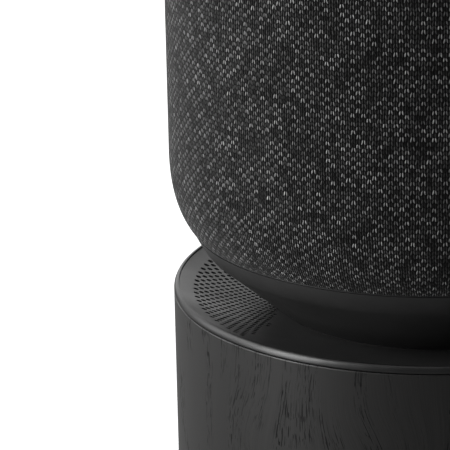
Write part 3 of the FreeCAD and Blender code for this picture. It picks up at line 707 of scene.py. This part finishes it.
points, faces, uv, sleeve_length = sleeve()
fabric = make_piece("knit_sleeve", points, faces, melange(), uv, ["fabric_sleeve"])

# ---- Top ring and touch disc --------------------------------------------------------------
# The drum ends in a slim anodised ring round a gently hollow disc of hard-coated polymer.
crest_low, crest_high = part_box("top_trim_ring")
CREST_OUT = crest_high[0]
CREST_IN = 84.5 * MM
CREST_LIP = crest_high[2] - 2.9 * MM
WALL_OUT = POD_R - TOP_ROUND - 2.7 * MM
CREST_ROUND = 2.0 * MM
CREST_DROP = 1.9 * MM    # the round's height, a little less than its width
INNER_ROUND = 0.5 * MM
CREST_BREAK = 0.2 * MM
crest_top = crest_high[2]
crest = [(CREST_IN, crest_low[2]), (WALL_OUT, crest_low[2]), (WALL_OUT, CREST_LIP),
         (CREST_OUT - CREST_BREAK, CREST_LIP), (CREST_OUT, CREST_LIP + CREST_BREAK)]
crest += arc((CREST_OUT - CREST_ROUND, crest_top - CREST_DROP), CREST_ROUND, 0, 90, 10,
             CREST_DROP / CREST_ROUND)
crest += arc((CREST_IN + INNER_ROUND, crest_top - INNER_ROUND), INNER_ROUND, 90, 180, 6)
points, faces = turned(crest)
make_piece("top_ring", points, faces, blasted, None, ["top_trim_ring"])

disc_low, disc_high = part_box("touch_disc")
DISC_R = disc_high[0]
DISC_DIP = 1.4 * MM
DISC_BREAK = 0.25 * MM
DISC_UNDER = 0.3 * MM    # the lower edge's broken corner
DISC_RISE = 0.4 * MM     # the underside is a flat cone
under = disc_low[2] + DISC_RISE
hollow = [(DISC_R * (1 - s) - DISC_BREAK * (s == 0), disc_high[2] - DISC_DIP * (1 - (1 - s) ** 2))
          for s in np.linspace(0, 1, 14)]
disc = [(0, disc_low[2]), (DISC_R - DISC_UNDER, under), (DISC_R, under + DISC_UNDER),
        (DISC_R, disc_high[2] - DISC_BREAK)] + hollow
points, faces = turned(disc)
hard_coat = grained("hard_coated_polymer", grey(0.010), grey(0.012), 0.30, 0.000004, 7000.0, 0.04,
                    Specular_IOR_Level=0.5)
make_piece("touch_surface", points, faces, hard_coat, None, ["touch_disc"])

# ---- Foot ring ----------------------------------------------------------------------------
# A moulded rubber ring let into the base plate, open at the back where the leads leave.
foot_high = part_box("foot_ring")[1]
FOOT_OUT = foot_high[0]
FOOT_WIDE = 10.0 * MM
FOOT_IN = FOOT_OUT - FOOT_WIDE
FOOT_ROUND = 0.8 * MM


def open_ring(profile, gap):
    """A closed profile of (r, z) carried round the axis from one side of a gap at the back to
    the other, with flat ends. gap is half its angle."""
    points = carried(profile, np.linspace(math.pi / 2 + gap, 5 * math.pi / 2 - gap, TURN_STEPS))
    row = np.repeat(np.arange(len(profile)), TURN_STEPS - 1)
    column = np.tile(np.arange(TURN_STEPS - 1), len(profile))
    after = (row + 1) % len(profile)
    faces = np.stack([row * TURN_STEPS + column, row * TURN_STEPS + column + 1,
                      after * TURN_STEPS + column + 1, after * TURN_STEPS + column], -1).tolist()
    ends = np.arange(len(profile)) * TURN_STEPS
    return points, faces + [ends.tolist(), (ends[::-1] + TURN_STEPS - 1).tolist()]


foot = arc((FOOT_IN + FOOT_ROUND, FOOT_ROUND), FOOT_ROUND, 180, 270, 5)
foot += arc((FOOT_OUT - FOOT_ROUND, FOOT_ROUND), FOOT_ROUND, 270, 360, 5)
foot += [(FOOT_OUT, foot_high[2]), (FOOT_IN, foot_high[2])]
rubber = grained("moulded_rubber", grey(0.018), grey(0.024), 0.78, 0.00006, 2600.0)
points, faces = open_ring(foot, math.asin(SLOT_HALF / FOOT_IN))
make_piece("rubber_foot", points, faces, rubber, None, ["foot_ring"])

# ---- Finishes of the CAD pieces -----------------------------------------------------------
# Everything that stays as the CAD has it gets its own finish: mouldings, boards, drivers.
FINISHES = {
    "base_moulding": grained("base_moulding", grey(0.026), grey(0.034), 0.6, 0.00004, 3000.0),
    "screw_steel": grained("screw_steel", grey(0.09), grey(0.14), 0.38, 0.00001, 9000.0, Metallic=1.0),
    "satin_black_metal": blasted,
    "deck_moulding": satin_black,
    "acoustic_cloth": grained("acoustic_cloth", grey(0.004), grey(0.006), 0.95, 0.0001, 2500.0),
    "basket_steel": grained("basket_steel", grey(0.02), grey(0.03), 0.5, 0.00004, 2400.0),
    "magnet_iron": grained("magnet_iron", grey(0.05), grey(0.08), 0.55, 0.00005, 1500.0, Metallic=0.6),
    "cone_alloy": grained("cone_alloy", grey(0.10), grey(0.13), 0.35, 0.00001, 8000.0, Metallic=0.9),
    "cone_pulp": grained("cone_pulp", grey(0.03), grey(0.045), 0.75, 0.00008, 1800.0),
    "surround_rubber": grained("surround_rubber", grey(0.012), grey(0.016), 0.5, 0.00001, 3000.0),
    "spider_cloth": grained("spider_cloth", (0.42, 0.25, 0.09, 1), (0.50, 0.31, 0.12, 1), 0.85,
                            0.0001, 2600.0),
    "face_plate_plastic": grained("face_plate_plastic", grey(0.02), grey(0.026), 0.45, 0.00002, 4000.0),
    "dome_silk": grained("dome_silk", grey(0.03), grey(0.04), 0.6, 0.00005, 5000.0),
    "light_diffuser": grained("light_diffuser", grey(0.72), grey(0.8), 0.5, 0.00001, 3000.0),
    "circuit_board": grained("circuit_board", (0.008, 0.07, 0.03, 1), (0.015, 0.10, 0.045, 1), 0.4,
                             0.00003, 1200.0),
    "sink_aluminium": grained("sink_aluminium", grey(0.4), grey(0.5), 0.35, 0.00001, 6000.0, Metallic=1.0),
    "socket_plastic": grained("socket_plastic", grey(0.014), grey(0.02), 0.42, 0.00002, 4000.0),
    "button_plastic": grained("button_plastic", grey(0.04), grey(0.05), 0.45, 0.00002, 4000.0),
}
slot_of = {p["node"]: p["material_slot"] for p in frame["record"]["subparts"]}
for node_name, shown in frame["nodes"].items():
    finish = FINISHES.get(slot_of[node_name])
    if finish:
        shown.data.materials.clear()
        shown.data.materials.append(finish)
